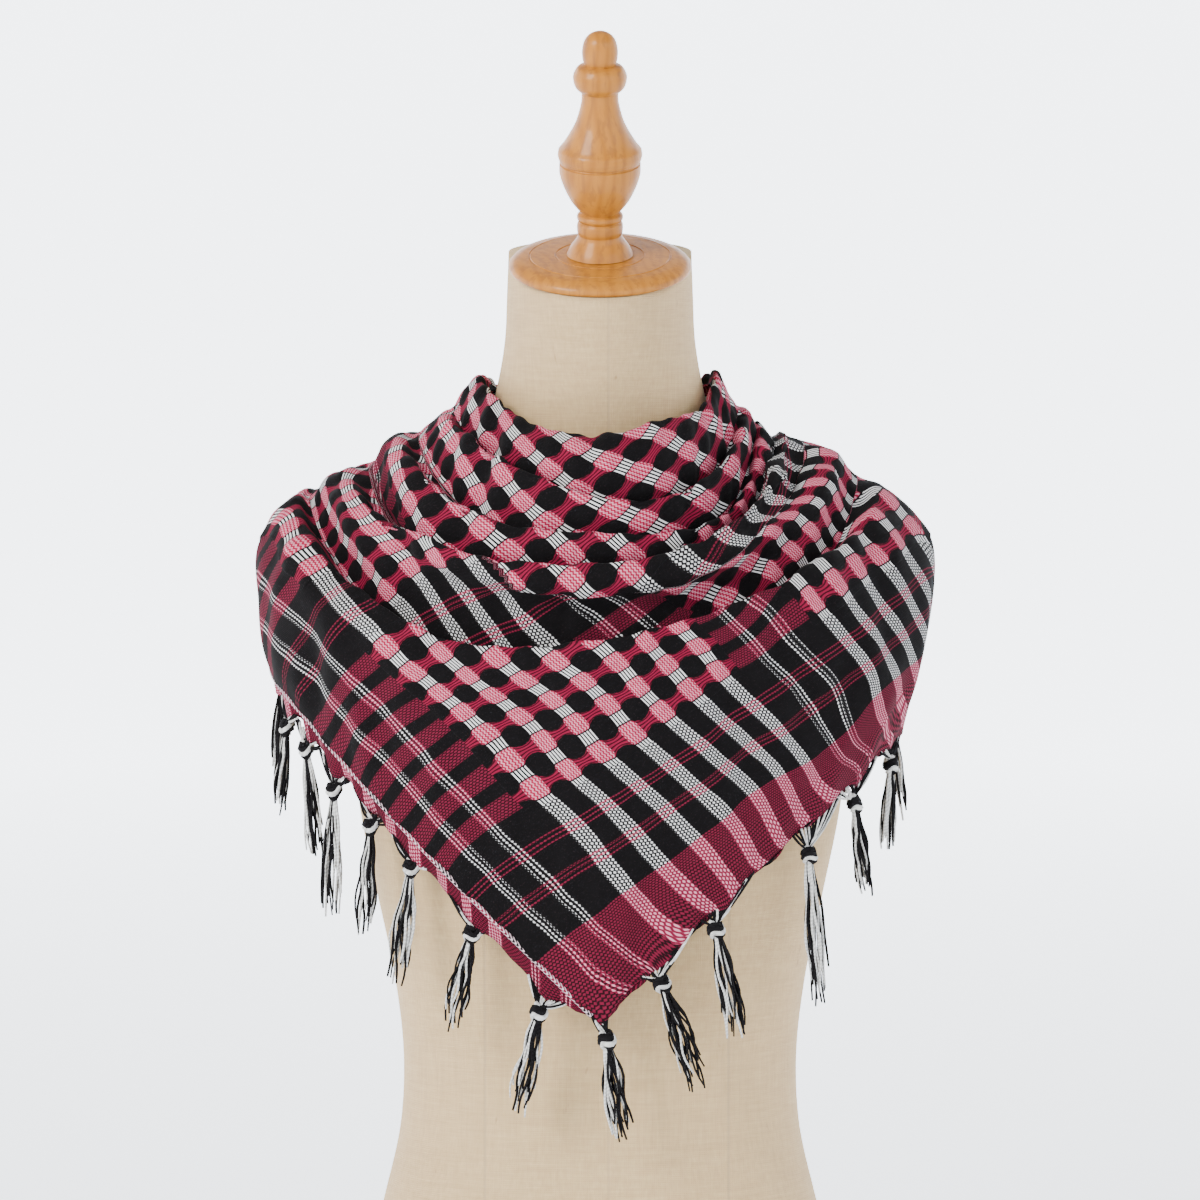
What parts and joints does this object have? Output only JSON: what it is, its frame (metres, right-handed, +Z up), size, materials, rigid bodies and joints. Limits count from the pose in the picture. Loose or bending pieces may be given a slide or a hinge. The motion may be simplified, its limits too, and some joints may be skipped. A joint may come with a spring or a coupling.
{
  "type": "shemagh scarf on a limbless dress form",
  "caption": "Checked cotton shemagh with fringed edges, folded on its diagonal and knotted at the nape, on a linen dress form with a turned wooden cap and finial.",
  "frame": {"origin": "middle of the dress form's flat underside", "axes": "+Z up, the front of the scarf with its point towards -Y, +X to the right as seen from the front"},
  "size_m": [0.4052, 0.2911, 0.8283],
  "materials": {
    "linen": "plain slubby linen weave, beige with brown flecks",
    "varnished_wood": "turned and varnished, glossy",
    "scarf_weave": "black, white and magenta cotton, check with raised floats",
    "thread": "loose cotton warp threads, black and white"
  },
  "bodies": {
    "root": {"form_torso": "linen", "neck_cap": "varnished_wood", "finial": "varnished_wood", "cowl": "scarf_weave", "front_panel": "scarf_weave", "under_panel": "scarf_weave", "back_left": "scarf_weave", "back_right": "scarf_weave", "nape_knot": "scarf_weave", "tail_left": "scarf_weave", "tail_right": "scarf_weave", "tassel_point": "thread", "tassel_right_1": "thread", "tassel_right_2": "thread", "tassel_right_3": "thread", "tassel_right_4": "thread", "tassel_right_5": "thread", "tassel_right_6": "thread", "tassel_right_7": "thread", "tassel_right_8": "thread", "tassel_left_1": "thread", "tassel_left_2": "thread", "tassel_left_3": "thread", "tassel_left_4": "thread", "tassel_left_5": "thread", "tassel_left_6": "thread", "tassel_left_7": "thread", "tassel_left_8": "thread", "tassel_left_9": "thread", "tassel_left_10": "thread", "tassel_tail_right_1": "thread", "tassel_tail_right_2": "thread", "tassel_tail_right_3": "thread", "tassel_tail_right_4": "thread", "tassel_tail_left_1": "thread", "tassel_tail_left_2": "thread", "tassel_tail_left_3": "thread"}
  },
  "joints": []
}
